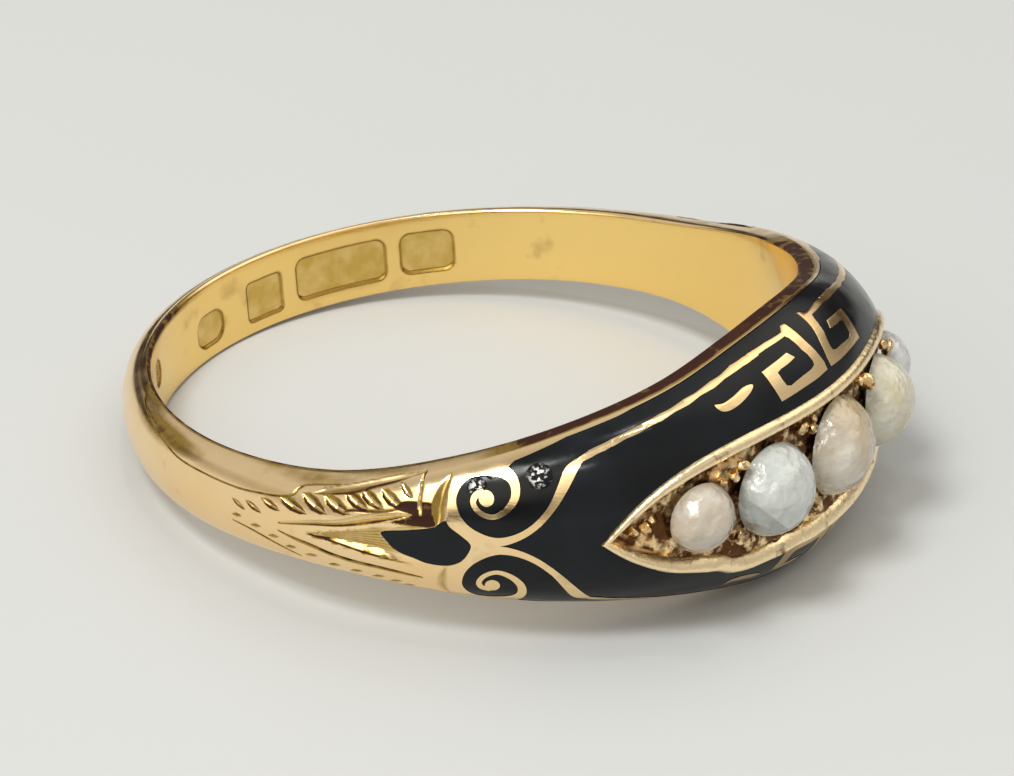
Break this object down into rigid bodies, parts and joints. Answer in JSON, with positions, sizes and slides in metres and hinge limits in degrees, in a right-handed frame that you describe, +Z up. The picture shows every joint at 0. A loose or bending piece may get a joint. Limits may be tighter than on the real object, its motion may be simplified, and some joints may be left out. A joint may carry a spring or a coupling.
{
  "type": "enamel and pearl ring",
  "caption": "Gold finger ring with a domed, tapering head in black enamel, Greek keys and scrolls, and a pointed oval setting of half pearls.",
  "frame": {"origin": "on the floor under the middle of the ring, which lies on its side", "axes": "+Z up; -Y towards the middle of the head with the pearls; the finger hole's axis leans 7.6 degrees from +Z towards +Y"},
  "size_m": [0.0198, 0.0214, 0.007],
  "materials": {
    "gold": "polished yellow gold, worn smooth",
    "black_enamel": "glossy vitreous enamel",
    "pearl": "satin nacre"
  },
  "bodies": {
    "root": {"band": "gold", "enamel_field": "black_enamel", "enamel_drop_left": "black_enamel", "enamel_drop_right": "black_enamel", "pearl_1": "pearl", "pearl_2": "pearl", "pearl_3": "pearl", "pearl_4": "pearl", "pearl_5": "pearl"}
  },
  "joints": []
}
